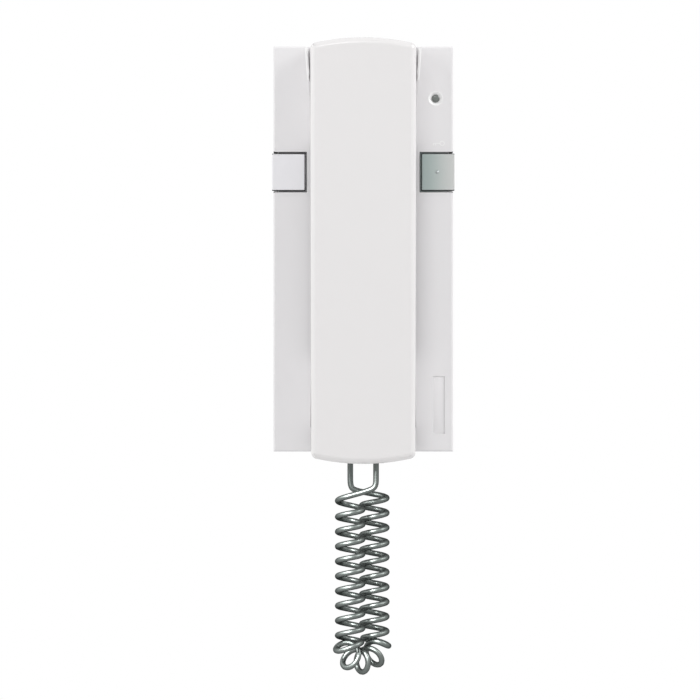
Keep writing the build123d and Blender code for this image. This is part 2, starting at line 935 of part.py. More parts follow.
def handset_socket():
    foot = handset_plug_foot() + shell_wall + handset_socket_step
    head = handset_plug_foot() + plug_length + plug_gap + socket_wall
    block = handset_socket_block(0, foot, head)
    mouth_head = handset_plug_foot() + plug_length + plug_gap
    return block - plug_box(handset_tail_x, handset_tail_depth(), foot - overrun, mouth_head, plug_gap)


def handset_front_shell():
    """The outer half of the handset, with bosses for the two screws."""
    shell = front_form(0) - front_form(shell_wall)
    for height in handset_screw_heights:
        shell += peg(0, height, boss_radius, parting_depth, handset_depth - shell_wall / 2)
        shell -= peg(0, height, handset_screw_radius, parting_depth, handset_depth - shell_wall)
    return shell


def handset_rear_shell():
    """The inner half: ear cup and mouth cup with their sound slots, grip and screw tubes."""
    shell = rear_form(0) - rear_form(shell_wall)
    sink_front = grip_depth + handset_screw_head
    for height in handset_screw_heights:
        shell += peg(0, height, boss_radius, grip_depth, parting_depth)
        shell -= peg(0, height, handset_screw_radius + close_fit, grip_depth, parting_depth)
        shell -= peg(0, height, handset_screw_head_radius + close_fit, grip_depth, sink_front)
    for step in range(ear_slot_count):
        offset = step - (ear_slot_count - 1) / 2
        x = offset * ear_slot_pitch
        half = ear_slot_half_length - abs(offset) * ear_slot_step
        shell -= slot_cut(x, receiver_height, half)
    for step in range(mouth_slot_count):
        x = (step - (mouth_slot_count - 1) / 2) * ear_slot_pitch
        shell -= slot_cut(x, microphone_height, mouth_slot_half_length)
    foot = -handset_foot - overrun
    head = handset_plug_foot() + shell_wall + overrun
    return shell - plug_box(handset_tail_x, handset_tail_depth(), foot, head, plug_gap)


def slot_cut(x, height, half):
    """A slot through a cup's floor."""
    side = ear_slot_width / 2
    back = cup_depth - overrun
    front = cup_depth + shell_wall + overrun / 2
    return slab(x - side, x + side, height - half, height + half, back, front)


def handset_screws():
    """Two screws from the grip's back into the front shell's bosses."""
    seat = grip_depth + handset_screw_head
    tip = parting_depth + handset_screw_bite
    reach = handset_screw_head_radius
    slot = screw_slot / 2
    slot_front = grip_depth + screw_slot
    screws = []
    for height in handset_screw_heights:
        screw = peg(0, height, handset_screw_head_radius, grip_depth, seat)
        screw += peg(0, height, handset_screw_radius - running_gap, seat, tip)
        screw -= slab(-reach, reach, height - slot, height + slot, grip_depth, slot_front)
        screws.append(screw)
    return Compound(children=screws)


def receiver_back():
    return cup_depth + shell_wall + gasket_depth + running_gap


def receiver():
    """The earpiece: a flat basket with its magnet behind."""
    back = receiver_back()
    top = back + receiver_rim
    capsule = peg(0, receiver_height, receiver_radius, back, top, large_sides)
    return capsule + peg(0, receiver_height, magnet_radius, back, top + magnet_depth, large_sides)


def receiver_gasket():
    back = cup_depth + shell_wall
    front = back + gasket_depth
    ring = peg(0, receiver_height, receiver_radius, back, front, large_sides)
    return ring - peg(0, receiver_height, receiver_radius - gasket_width, back, front, large_sides)


def microphone():
    back = cup_depth + shell_wall + boot_wall
    return peg(0, microphone_height, microphone_radius, back, back + microphone_depth)


def microphone_boot():
    """A rubber cup round the microphone, open at the sound slots' side through a port."""
    back = cup_depth + shell_wall
    seat = back + boot_wall
    front = seat + microphone_depth
    boot = peg(0, microphone_height, microphone_radius + boot_wall, back, front)
    boot -= peg(0, microphone_height, microphone_radius, seat, front)
    return boot - peg(0, microphone_height, microphone_radius / 2, back, seat)


def eased(x):
    """A smooth step from 0 to 1."""
    x = min(1, max(0, x))
    return x * x * (3 - 2 * x)


def rise(turns, ease):
    """Zero below zero, then a straight climb, with a rounded start."""
    if turns <= 0:
        return 0
    return turns * turns / (2 * ease) if turns < ease else turns - ease / 2


def fan_start():
    return curl_count / 2 - fan_half_turns


def fan_end():
    return curl_count / 2 + fan_half_turns


def spoke_angle(turn):
    """How far the winding's line is round the bottom: none on the base's leg, -pi on the other."""
    whole = fan_end() - fan_start() - fan_ease_turns
    swept = rise(turn - fan_start(), fan_ease_turns)
    swept -= rise(turn - fan_end() + fan_ease_turns, fan_ease_turns)
    return -math.pi * swept / whole


def cord_point(turn):
    """A point of the wire's centreline, counted in turns from the base leg's first outer side."""
    opening = eased((turn - fan_start() + fan_lead_turns) / fan_blend_turns)
    opening *= eased((fan_end() + fan_lead_turns - turn) / fan_blend_turns)
    spread = leg_half_spacing + (fan_radius - leg_half_spacing) * opening
    radius = curl_radius + (fan_curl_radius - curl_radius) * opening
    climb = rise(fan_start() + fan_overlap_turns - turn, rise_ease_turns)
    climb += rise(turn - fan_end() + fan_overlap_turns, rise_ease_turns)
    along = eased((turn - fan_start()) / (fan_end() - fan_start()))
    angle = spoke_angle(turn)
    phase = 2 * math.pi * turn
    reach = spread + radius * math.cos(phase)
    line_depth = base_leg_depth + (handset_leg_depth - base_leg_depth) * along
    depth = line_depth + radius * math.sin(phase)
    height = fan_height + curl_pitch * climb - leg_height_step * along + reach * math.sin(angle)
    return Vector(leg_middle_x + reach * math.cos(angle), -depth, height)


def cord_direction(turn):
    """The wire's direction, from two points close beside."""
    step = 1 / (gap_steps_per_turn * gap_steps_per_turn)
    return (cord_point(turn + step) - cord_point(turn - step)).normalized()


def biarc(start, start_direction, end, end_direction):
    """Two arcs that leave a point and reach another, each in a given direction."""
    span = end - start
    both = start_direction + end_direction
    a = both.dot(both) - 4
    b = -2 * span.dot(both)
    c = span.dot(span)
    root = math.sqrt(b * b - 4 * a * c)
    handle = max((-b + root) / (2 * a), (-b - root) / (2 * a))
    first = start + start_direction * handle
    last = end - end_direction * handle
    joint = (first + last) / 2
    middle_direction = (last - first).normalized()
    return [
        TangentArc(start, joint, tangent=start_direction),
        TangentArc(joint, end, tangent=middle_direction),
    ]


def wire_section(start, direction):
    """The wire's cross-section, with flats for its round."""
    return Plane(origin=start, z_dir=direction) * RegularPolygon(wire_radius, cord_sides)


def tail_edges(turn, sign, x, top):
    """The tail from its plug straight down, one bend, and along to the winding."""
    end = cord_point(turn)
    along = cord_direction(turn) * sign
    down = Vector(0, 0, -1)
    corner = end - along * ((end.X - x) / along.X)
    setback = tail_bend_radius * math.tan(along.get_angle(down) / 2 * math.pi / 180)
    bend_start = corner - down * setback
    bend_end = corner + along * setback
    start = Vector(x, end.Y, top)
    return [Line(start, bend_start), TangentArc(bend_start, bend_end, tangent=down), Line(bend_end, end)]


def swept_wire(edges, direction):
    """One unbroken tube along a chain of lines and arcs."""
    section = wire_section(edges[0].position_at(0), direction)
    path = Wire(edges)
    return sweep(section, path=path, clean=False), path


def base_end_turn():
    return -1 / 4


def handset_end_turn():
    return curl_count + 1 / 4


def winding_edges(first, last):
    """The winding as a chain of arcs, two to each half turn."""
    edges = []
    for step in range(round((last - first) * 2)):
        low = first + step / 2
        high = low + 1 / 2
        edges += biarc(cord_point(low), cord_direction(low), cord_point(high), cord_direction(high))
    return edges


def curly_cord():
    """The wound wire, with a straight run at each end, between the two tails' bends."""
    first = base_end_turn()
    last = handset_end_turn()
    lead = tail_edges(first, 1, base_tail_x, 0)[-1]
    far_bend_end = tail_edges(last, -1, handset_tail_x, 0)[-1].position_at(0)
    edges = [lead] + winding_edges(first, last) + [Line(cord_point(last), far_bend_end)]
    return swept_wire(edges, cord_direction(first))


def tail(turn, sign, x, top):
    """The wire from a plug down to the end of its bend."""
    return swept_wire(tail_edges(turn, sign, x, top)[:-1], Vector(0, 0, -1))


def least_gap(first, last):
    """The least distance between the surfaces of different turns, measured on points."""
    count = round((last - first) * gap_steps_per_turn)
    points = [cord_point(first + (last - first) * step / count) for step in range(count + 1)]
    apart = gap_steps_per_turn // 2
    least = unit_height
    for index, point in enumerate(points):
        for other in points[index + apart:]:
            if abs(point.Z - other.Z) < least:
                least = min(least, (point - other).length)
    return least - wire_diameter


def report_cord(name, solid, path):
    radii = [edge.radius for edge in path.edges() if edge.geom_type == GeomType.CIRCLE]
    swept = wire_section(Vector(0, 0, 0), Vector(0, 0, 1)).area * path.length
    print(f"{name}: {path.length:.1f} long, volume {solid.volume:.1f} against {swept:.1f}")
    print(f"{name}: bend radii {min(radii):.2f} to {max(radii):.2f}")


def main():
    os.makedirs("parts", exist_ok=True)
    pieces = {
        "wall_plate": wall_plate(),
        "front_cover": front_cover(),
        "cover_screw": cover_screw(),
        "circuit_board": circuit_board(),
        "board_screws": board_screws(),
        "terminal_block": terminal_block(),
        "terminal_screws": terminal_screws(),
        "left_switch": push_switch(-1),
        "right_switch": push_switch(1),
        "left_button": push_button(-1, False),
        "right_button": push_button(1, True),
        "left_plunger": push_plunger(-1),
        "right_plunger": push_plunger(1),
        "hook_switch": hook_switch(),
        "hook_pin": hook_pin(),
        "hook_spring": hook_spring(),
        "hook_lever": hook_lever(),
        "led": led(),
        "led_lens": led_lens(),
        "call_sounder": call_sounder(),
        "volume_switch": volume_switch(),
        "volume_slider": volume_slider(),
        "capacitors": capacitors(),
        "line_chip": line_chip(),
        "base_socket": base_socket(),
        "handset_front_shell": handset_front_shell(),
        "handset_rear_shell": handset_rear_shell(),
        "handset_screws": handset_screws(),
        "receiver": receiver(),
        "receiver_gasket": receiver_gasket(),
        "microphone": microphone(),
        "microphone_boot": microphone_boot(),
        "handset_socket": handset_socket(),
        "base_plug": modular_plug(base_tail_x, base_tail_depth(), base_plug_foot()),
        "handset_plug": modular_plug(handset_tail_x, handset_tail_depth(), handset_plug_foot()),
    }
    cords = {
        "base_cord_tail": tail(base_end_turn(), 1, base_tail_x, base_plug_foot()),
        "curly_cord": curly_cord(),
        "handset_cord_tail": tail(handset_end_turn(), -1, handset_tail_x, handset_plug_foot()),
    }
    for name, (solid, path) in cords.items():
        pieces[name] = solid
        report_cord(name, solid, path)
    for name, solid in pieces.items():
        export_step(solid, f"parts/{name}.step")
    print(f"curly_cord: least gap to itself {least_gap(base_end_turn(), handset_end_turn()):.2f}")


main()
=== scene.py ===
import bpy
import bmesh
import json
import math
from mathutils import Matrix, Vector

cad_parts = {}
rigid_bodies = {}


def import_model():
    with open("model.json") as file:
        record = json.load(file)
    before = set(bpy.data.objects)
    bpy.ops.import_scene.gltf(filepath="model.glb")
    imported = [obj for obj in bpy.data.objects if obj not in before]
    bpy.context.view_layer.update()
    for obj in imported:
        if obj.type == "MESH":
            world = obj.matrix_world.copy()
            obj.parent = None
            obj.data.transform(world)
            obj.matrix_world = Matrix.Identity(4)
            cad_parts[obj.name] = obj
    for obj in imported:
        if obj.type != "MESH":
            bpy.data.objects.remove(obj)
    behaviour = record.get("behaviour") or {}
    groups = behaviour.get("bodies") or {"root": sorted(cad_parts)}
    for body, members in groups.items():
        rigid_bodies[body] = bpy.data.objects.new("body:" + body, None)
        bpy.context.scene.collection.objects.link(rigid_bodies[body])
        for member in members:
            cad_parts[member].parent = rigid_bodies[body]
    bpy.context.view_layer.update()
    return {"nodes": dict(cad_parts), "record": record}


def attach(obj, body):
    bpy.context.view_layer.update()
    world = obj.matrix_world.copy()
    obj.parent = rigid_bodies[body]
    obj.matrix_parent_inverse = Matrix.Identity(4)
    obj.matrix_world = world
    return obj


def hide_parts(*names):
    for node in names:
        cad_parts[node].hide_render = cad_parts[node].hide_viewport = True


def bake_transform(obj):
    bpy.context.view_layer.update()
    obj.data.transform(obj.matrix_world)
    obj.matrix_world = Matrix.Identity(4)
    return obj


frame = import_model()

# Audio intercom handset: the finishes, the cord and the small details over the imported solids.
# Metres; +Z is up, the room is towards -Y and the wall's face is y = 0. A depth is how far
# something stands out from the wall.

nodes = frame["nodes"]
record = frame["record"]
bodyOfNode = {node: body for body, names in record["behaviour"]["bodies"].items()
              for node in names}
slotOfNode = {part["node"]: part["material_slot"] for part in record["subparts"]}
scene = bpy.context.scene


# camera

cameraSetup = {
    "distance": 6.0,              # far away: the photo has next to no perspective
    "viewWidth": 0.3542,          # what the frame spans at the depth of planeDepth
    "planeDepth": 0.03,
    "x": -0.0067,                 # the middle of the frame
    "z": -0.0511,
}


def placeCamera(setup):
    data = bpy.data.cameras.new("camera")
    data.sensor_width = 36
    fromPlane = setup["distance"] - setup["planeDepth"]
    data.lens = data.sensor_width * fromPlane / setup["viewWidth"]
    data.clip_end = 50
    camera = bpy.data.objects.new("camera", data)
    camera.location = (setup["x"], -setup["distance"], setup["z"])
    camera.rotation_euler = (math.radians(90), 0, 0)
    scene.collection.objects.link(camera)
    scene.camera = camera


placeCamera(cameraSetup)
print("camera placed")


# helpers for meshes

def newPiece(name, mesh, material):
    piece = bpy.data.objects.new(name, mesh)
    scene.collection.objects.link(piece)
    mesh.materials.append(material)
    return piece


def finishMesh(bm, name, sharpAngle=35):
    # smooth faces, with sharp edges only where the surface really turns
    bmesh.ops.recalc_face_normals(bm, faces=bm.faces)
    for face in bm.faces:
        face.smooth = True
    for edge in bm.edges:
        edge.smooth = edge.is_manifold and edge.calc_face_angle(0) < math.radians(sharpAngle)
    mesh = bpy.data.meshes.new(name)
    bm.to_mesh(mesh)
    bm.free()
    return mesh


def cutAcross(bm, normal, spot):
    # new edges where a plane crosses the mesh
    bmesh.ops.bisect_plane(bm, geom=bm.verts[:] + bm.edges[:] + bm.faces[:],
                           plane_no=normal, plane_co=spot)


def weighNormals(piece):
    # large flat faces keep their own normals beside small rounds
    modifier = piece.modifiers.new("flatFaces", "WEIGHTED_NORMAL")
    modifier.keep_sharp = True
    modifier.weight = 80


# helpers for shaders

def feed(tree, socket, value):
    # joins another node's output to a socket, or writes a plain value into it
    if isinstance(value, bpy.types.NodeSocket):
        tree.links.new(value, socket)
    else:
        socket.default_value = value


def addMath(tree, operation, *values):
    node = tree.nodes.new("ShaderNodeMath")
    node.operation = operation
    for socket, value in zip(node.inputs, values):
        feed(tree, socket, value)
    return node.outputs[0]


def addNoise(tree, place, scale, detail):
    node = tree.nodes.new("ShaderNodeTexNoise")
    feed(tree, node.inputs["Vector"], place)
    feed(tree, node.inputs["Scale"], scale)
    feed(tree, node.inputs["Detail"], detail)
    return node.outputs["Fac"]


def addBump(tree, height):
    # the height is in metres
    node = tree.nodes.new("ShaderNodeBump")
    node.inputs["Strength"].default_value = 1
    node.inputs["Distance"].default_value = 1
    feed(tree, node.inputs["Height"], height)
    return node.outputs["Normal"]


def newGroup(name, takes, gives):
    # takes has rows of name, kind and usual value, gives has rows of name and kind
    tree = bpy.data.node_groups.new(name, "ShaderNodeTree")
    for socketName, kind, value in takes:
        socket = tree.interface.new_socket(socketName, in_out="INPUT", socket_type=kind)
        socket.default_value = value
    for socketName, kind in gives:
        tree.interface.new_socket(socketName, in_out="OUTPUT", socket_type=kind)
    given = tree.nodes.new("NodeGroupInput").outputs
    out = tree.nodes.new("NodeGroupOutput").inputs
    return tree, given, out


# shader groups

grainLook = {
    "cloudScale": 28,             # slow changes of tone
    "cloudDetail": 4,
    "smudgeScale": 90,            # changes of gloss
    "smudgeDetail": 6,
    "grainDetail": 2,
}


def buildMouldedGrain(look):
    # cloudy tone, uneven gloss and a fine grain, as on injection-moulded plastic
    tree, given, out = newGroup("mouldedGrain", [
        ("Color", "NodeSocketColor", (0.8, 0.8, 0.8, 1)),
        ("Mottle", "NodeSocketFloat", 0.02),
        ("Roughness", "NodeSocketFloat", 0.4),
        ("Gloss Spread", "NodeSocketFloat", 0.05),
        ("Grain Scale", "NodeSocketFloat", 2500),
        ("Grain Height", "NodeSocketFloat", 0.00002),
    ], [
        ("Color", "NodeSocketColor"),
        ("Roughness", "NodeSocketFloat"),
        ("Normal", "NodeSocketVector"),
    ])
    place = tree.nodes.new("ShaderNodeTexCoord").outputs["Object"]
    clouds = addNoise(tree, place, look["cloudScale"], look["cloudDetail"])
    centred = addMath(tree, "SUBTRACT", clouds, 0.5)
    amount = addMath(tree, "MULTIPLY_ADD", centred, given["Mottle"], 1)
    tone = tree.nodes.new("ShaderNodeVectorMath")
    tone.operation = "SCALE"
    feed(tree, tone.inputs[0], given["Color"])
    feed(tree, tone.inputs["Scale"], amount)
    feed(tree, out["Color"], tone.outputs[0])
    smudges = addNoise(tree, place, look["smudgeScale"], look["smudgeDetail"])
    gloss = addMath(tree, "MULTIPLY", smudges, given["Gloss Spread"])
    feed(tree, out["Roughness"], addMath(tree, "ADD", gloss, given["Roughness"]))
    grain = addNoise(tree, place, given["Grain Scale"], look["grainDetail"])
    height = addMath(tree, "MULTIPLY", grain, given["Grain Height"])
    feed(tree, out["Normal"], addBump(tree, height))
    return tree


lineLook = {
    "stretch": (120, 4000, 120),  # fine in depth and drawn out across
    "detail": 3,
    "glossSpread": 0.15,
}


def buildBrushedLines(look):
    # fine lathe or brush lines, for screws, springs and capsules
    tree, given, out = newGroup("brushedLines", [
        ("Roughness", "NodeSocketFloat", 0.3),
        ("Line Height", "NodeSocketFloat", 0.00001),
    ], [
        ("Roughness", "NodeSocketFloat"),
        ("Normal", "NodeSocketVector"),
    ])
    stretch = tree.nodes.new("ShaderNodeMapping")
    stretch.inputs["Scale"].default_value = look["stretch"]
    place = tree.nodes.new("ShaderNodeTexCoord").outputs["Object"]
    feed(tree, stretch.inputs["Vector"], place)
    lines = addNoise(tree, stretch.outputs[0], 1, look["detail"])
    rough = addMath(tree, "MULTIPLY_ADD", lines, look["glossSpread"], given["Roughness"])
    feed(tree, out["Roughness"], rough)
    height = addMath(tree, "MULTIPLY", lines, given["Line Height"])
    feed(tree, out["Normal"], addBump(tree, height))
    return tree


mouldedGrain = buildMouldedGrain(grainLook)
brushedLines = buildBrushedLines(lineLook)


# materials

def newMaterial(name, group, values):
    # a shader fed by a group that has these values
    material = bpy.data.materials.new(name)
    material.use_nodes = True
    tree = material.node_tree
    shader = tree.nodes["Principled BSDF"]
    surface = tree.nodes.new("ShaderNodeGroup")
    surface.node_tree = group
    for socketName, value in values.items():
        surface.inputs[socketName].default_value = value
    for output in surface.outputs:
        wanted = "Base Color" if output.name == "Color" else output.name
        tree.links.new(output, shader.inputs[wanted])
    return material, shader


def plastic(name, color, roughness, mottle, grainScale, grainHeight, coat=0, coatRoughness=0.08):
    material, shader = newMaterial(name, mouldedGrain, {
        "Color": (*color, 1),
        "Mottle": mottle,
        "Roughness": roughness,
        "Gloss Spread": 0.04,
        "Grain Scale": grainScale,
        "Grain Height": grainHeight,
    })
    shader.inputs["Coat Weight"].default_value = coat
    shader.inputs["Coat Roughness"].default_value = coatRoughness
    return material


def metal(name, color, roughness):
    material, shader = newMaterial(name, brushedLines, {"Roughness": roughness})
    shader.inputs["Base Color"].default_value = (*color, 1)
    shader.inputs["Metallic"].default_value = 1
    return material


def clearPlastic(name, color, roughness, share):
    # tinted see-through plastic that still shows its own body colour
    material = plastic(name, color, roughness=roughness, mottle=0.03, grainScale=2500,
                       grainHeight=0.000004)
    shader = material.node_tree.nodes["Principled BSDF"]
    shader.inputs["Transmission Weight"].default_value = share
    shader.inputs["IOR"].default_value = 1.49
    return material


# painted reflection: the silver button goes from the dark tone to the light one across its face,
# standing in for the sheen of the light on it
silverTones = {
    "dark": (0.33, 0.40, 0.385),
    "light": (0.59, 0.59, 0.58),
    "sheenFromX": 0.029,               # the painted sheen starts from here
    "sheenToX": 0.05,                  # and is full here, across the button
    "speckleScale": 2600,
    "speckle": 1.7,               # how far the speckle shifts the tone, from end to end
    "metallic": 0.5,
}


def silverWithPaintedSheen(name, tones):
    # metallic grey with a painted sheen: its tone lightens towards the button's outer side as a
    # reflection would, with a fine speckle
    material = plastic(name, tones["dark"], roughness=0.34, mottle=0.03, grainScale=5200,
                       grainHeight=0.00001)
    tree = material.node_tree
    place = tree.nodes.new("ShaderNodeTexCoord").outputs["Object"]
    across = tree.nodes.new("ShaderNodeSeparateXYZ")
    feed(tree, across.inputs[0], place)
    span = tree.nodes.new("ShaderNodeMapRange")
    span.interpolation_type = "SMOOTHSTEP"
    span.inputs["From Min"].default_value = tones["sheenFromX"]
    span.inputs["From Max"].default_value = tones["sheenToX"]
    feed(tree, span.inputs["Value"], across.outputs["X"])
    speckle = addNoise(tree, place, tones["speckleScale"], 1)
    fleck = addMath(tree, "MULTIPLY_ADD", speckle, tones["speckle"], -tones["speckle"] / 2)
    blend = tree.nodes.new("ShaderNodeMix")
    blend.data_type = "RGBA"
    blend.inputs["A"].default_value = (*tones["dark"], 1)
    blend.inputs["B"].default_value = (*tones["light"], 1)
    feed(tree, blend.inputs["Factor"], addMath(tree, "ADD", span.outputs[0], fleck))
    feed(tree, tree.nodes["Group"].inputs["Color"], blend.outputs["Result"])
    tree.nodes["Principled BSDF"].inputs["Metallic"].default_value = tones["metallic"]
    return material


def sheenCord(name, color, roughness):
    # dark wire with a silvery sheen: bright where it faces the light, dark at its sides
    material = plastic(name, color, roughness=roughness, mottle=0.1, grainScale=700,
                       grainHeight=0.000005)
    shader = material.node_tree.nodes["Principled BSDF"]
    shader.inputs["Metallic"].default_value = 0.9
    shader.inputs["Specular Tint"].default_value = (0, 0, 0, 1)
    return material


finishes = {
    "cover_plastic": plastic("satinWhiteCover", (0.785, 0.775, 0.785), roughness=0.42,
                             mottle=0.015, grainScale=2600, grainHeight=0.000012),
    "handset_plastic": plastic("smoothWhiteHandset", (0.785, 0.77, 0.77), roughness=0.34,
                               mottle=0.01, grainScale=2600, grainHeight=0.000006,
                               coat=0.7, coatRoughness=0.24),
    "plate_plastic": plastic("backPlateWhite", (0.72, 0.72, 0.72), roughness=0.5,
                             mottle=0.03, grainScale=1500, grainHeight=0.00003),
    "button_white": plastic("satinWhiteButton", (0.83, 0.825, 0.85), roughness=0.36,
                            mottle=0.012, grainScale=2600, grainHeight=0.00001),
    "button_silver": silverWithPaintedSheen("silverButton", silverTones),
    "lens_grey": plastic("smokedLens", (0.135, 0.15, 0.14), roughness=0.2,
                         mottle=0.05, grainScale=900, grainHeight=0.000003, coat=0.5),
    "lamp_clear": plastic("tintedLamp", (0.6, 0.05, 0.04), roughness=0.15,
                          mottle=0.05, grainScale=900, grainHeight=0.000003, coat=0.5),
    "cord_grey": sheenCord("silverGreyCord", (0.14, 0.155, 0.148), roughness=0.34),
    "plug_clear": clearPlastic("clearPlug", (0.62, 0.63, 0.62), roughness=0.14, share=0.45),
    "board_green": plastic("boardLacquer", (0.012, 0.12, 0.045), roughness=0.3,
                           mottle=0.2, grainScale=1200, grainHeight=0.00002, coat=0.3),
    "switch_black": plastic("mattBlack", (0.022, 0.022, 0.023), roughness=0.5,
                            mottle=0.1, grainScale=2200, grainHeight=0.00002),
    "terminal_plastic": plastic("terminalGrey", (0.22, 0.23, 0.24), roughness=0.45,
                                mottle=0.05, grainScale=2200, grainHeight=0.00002),
    "capacitor_blue": plastic("blueSleeve", (0.02, 0.045, 0.17), roughness=0.3,
                              mottle=0.06, grainScale=900, grainHeight=0.00001),
    "screw_steel": metal("zincSteel", (0.62, 0.62, 0.63), roughness=0.28),
    "capsule_aluminium": metal("drawnAluminium", (0.78, 0.78, 0.79), roughness=0.35),
    "soft_rubber": plastic("softRubber", (0.025, 0.025, 0.025), roughness=0.7,
                           mottle=0.1, grainScale=1600, grainHeight=0.00003),
}
# painted shade: a near-black finish laid on the faces in the narrow gaps round the push buttons,
# standing in for the shade there
paintedGapShade = plastic("paintedShadeInGap", (0.02, 0.022, 0.024), roughness=0.7,
                   mottle=0.1, grainScale=2200, grainHeight=0.00001)
# painted highlight: a whiter white than the wing's, used on the lamp's bezel, the key sign and
# the trough's lips to stand in for the light on their slopes, strokes and rounded edges
highlightWhite = plastic("paintedHighlightWhite", (0.9, 0.9, 0.9), roughness=0.22,
                     mottle=0.01, grainScale=1800, grainHeight=0.000003)
pipSilver = metal("pipSilver", (0.42, 0.45, 0.45), roughness=0.3)
print("materials made")


# the curly cord: down one leg of winding, round a fan of loops and up the other leg

curlyCord = {
    "wire": 0.0029,
    "curlRadius": 0.0064,
    "pitch": 0.0075,
    "turns": 24,
    "leadTurns": 0.25,            # the winding goes on this far past both of its ends
    "middleX": -0.0005,
    "legHalfSpacing": 0.0061,
    "baseLegDepth": 0.024,
    "handsetLegDepth": 0.0345,
    "fanHeight": -0.1988,
    "fanDrop": 0.0003,
    "fanRadius": 0.0084,
    "fanCurlRadius": 0.0056,
    "fanTilt": math.radians(54),  # the fan's loops turn this far towards the room, as rings
    "tiltFrom": 9.7,
    "tiltTo": 14.6,
    "fanHalfTurns": 2.5,
    "fanEase": 0.6,
    "fanLead": 0.4,
    "fanBlend": 1.4,
    "fanOverlap": 0.7,
    "riseEase": 1,
    "lastRise": 0.32,             # the handset's end of the winding climbs faster, in pitches
    "lastRiseFrom": 23.5,
    "legHeightStep": 0.0019,      # the handset's leg sits this much lower
    "pointsPerTurn": 24,
    "endStep": 1 / 240,           # a close point at each end keeps the joints straight
    "basePlug": (-0.00655, -0.1065),
    "handsetPlug": (0.00645, -0.10823),
    "tailMiddle": 0.45,           # a tail's own points, as shares of its two straight runs
    "bendAbove": 0.13,
    "bendBelow": 0.15,
    "firstSplit": 15,             # the leg between the two bodies runs from this turn
    "lastSplit": 23.75,           # to this one, where the handset's own tail starts
    "stillBelow": -0.1955,        # two heights along that leg
    "movedAbove": -0.136,
}


def eased(x):
    x = min(1, max(0, x))
    return x * x * (3 - 2 * x)


def rise(turns, ease):
    # grows slowly at first, and by one a turn once ease is past
    if turns <= 0:
        return 0
    return turns * turns / (2 * ease) if turns < ease else turns - ease / 2


def cordPoint(turn, c=curlyCord):
    start = c["turns"] / 2 - c["fanHalfTurns"]
    end = c["turns"] / 2 + c["fanHalfTurns"]
    swept = rise(turn - start, c["fanEase"]) - rise(turn - end + c["fanEase"], c["fanEase"])
    angle = -math.pi * swept / (end - start - c["fanEase"])
    along = eased((turn - start) / (end - start))
    opening = eased((turn - start + c["fanLead"]) / c["fanBlend"])
    opening *= eased((end + c["fanLead"] - turn) / c["fanBlend"])
    spread = c["legHalfSpacing"] + (c["fanRadius"] - c["legHalfSpacing"]) * opening
    radius = c["curlRadius"] + (c["fanCurlRadius"] - c["curlRadius"]) * opening
    climb = rise(start + c["fanOverlap"] - turn, c["riseEase"])
    climb += rise(turn - end + c["fanOverlap"], c["riseEase"])
    climb += c["lastRise"] * max(0, turn - c["lastRiseFrom"]) ** 2
    lean = eased(turn - c["tiltFrom"]) * eased(c["tiltTo"] - turn)
    tilt = c["fanTilt"] * lean
    phase = 2 * math.pi * turn
    reach = spread + radius * math.cos(phase)
    sway = radius * math.sin(phase) * math.sin(tilt)
    depth = c["baseLegDepth"] + (c["handsetLegDepth"] - c["baseLegDepth"]) * along
    depth += radius * math.sin(phase) * math.cos(tilt)
    height = c["fanHeight"] - c["fanDrop"] * opening
    height += c["pitch"] * climb
    height -= c["legHeightStep"] * along
    height += reach * math.sin(angle) + sway * math.cos(angle)
    across = c["middleX"] + reach * math.cos(angle) - sway * math.sin(angle)
    return Vector((across, -depth, height))


def windingPoints(first, last):
    count = round((last - first) * curlyCord["pointsPerTurn"])
    turns = [first + (last - first) * step / count for step in range(count + 1)]
    turns.insert(1, first + curlyCord["endStep"])
    turns.insert(-1, last - curlyCord["endStep"])
    return [cordPoint(turn) for turn in turns]


def tailPoints(plug, turn, towards, c=curlyCord):
    # from the plug's mouth straight down, then round a corner to the winding
    x, top = plug
    end = cordPoint(turn)
    run = cordPoint(turn + c["endStep"]) - cordPoint(turn - c["endStep"])
    along = run.normalized() * towards
    corner = end - along * ((end.x - x) / along.x)
    mouth = Vector((x, end.y, top))
    return [mouth, mouth.lerp(corner, c["tailMiddle"]), corner.lerp(mouth, c["bendAbove"]),
            corner.lerp(end, c["bendBelow"])]


def makeCord(name, points, body, replaced, **ends):
    # with no body, the piece belongs to neither the wall unit nor the handset
    data = bpy.data.curves.new(name, "CURVE")
    data.dimensions = "3D"
    data.resolution_u = 4
    spline = data.splines.new("NURBS")
    spline.points.add(len(points) - 1)
    for point, place in zip(spline.points, points):
        point.co = (*place, 1)
    spline.order_u = 3
    spline.use_endpoint_u = True
    guide = bpy.data.objects.new(name + "_route", data)
    scene.collection.objects.link(guide)
    line = bpy.data.meshes.new_from_object(guide)
    data.bevel_depth = curlyCord["wire"] / 2
    data.bevel_resolution = 4
    data.use_fill_caps = True
    tube = bpy.data.meshes.new_from_object(guide)
    bpy.data.objects.remove(guide)
    bm = bmesh.new()
    bm.from_mesh(tube)
    bmesh.ops.remove_doubles(bm, verts=bm.verts, dist=0.000001)
    piece = newPiece(name, finishMesh(bm, name, sharpAngle=60), finishes["cord_grey"])
    if body:
        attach(piece, body)
    else:
        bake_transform(piece)
    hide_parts(*replaced)


def makeWholeCord(c):
    firstTurn = -c["leadTurns"]
    lastTurn = c["turns"] + c["leadTurns"]
    wallLeg = tailPoints(c["basePlug"], firstTurn, 1) + windingPoints(firstTurn, c["firstSplit"])
    makeCord("cord_wall_leg", wallLeg, "wall_unit", ["base_cord_tail", "curly_cord"],
             with_pieces=[nodes["base_plug"]])
    makeCord("cord_handset_leg", windingPoints(c["firstSplit"], c["lastSplit"]), None, [])
    handsetTail = tailPoints(c["handsetPlug"], lastTurn, -1)
    handsetTail += windingPoints(c["lastSplit"], lastTurn)[::-1]
    makeCord("cord_handset_tail", handsetTail, "handset", ["handset_cord_tail"],
             with_pieces=[nodes["handset_plug"]])


makeWholeCord(curlyCord)
print("cord made")


# moulded pieces with softened edges

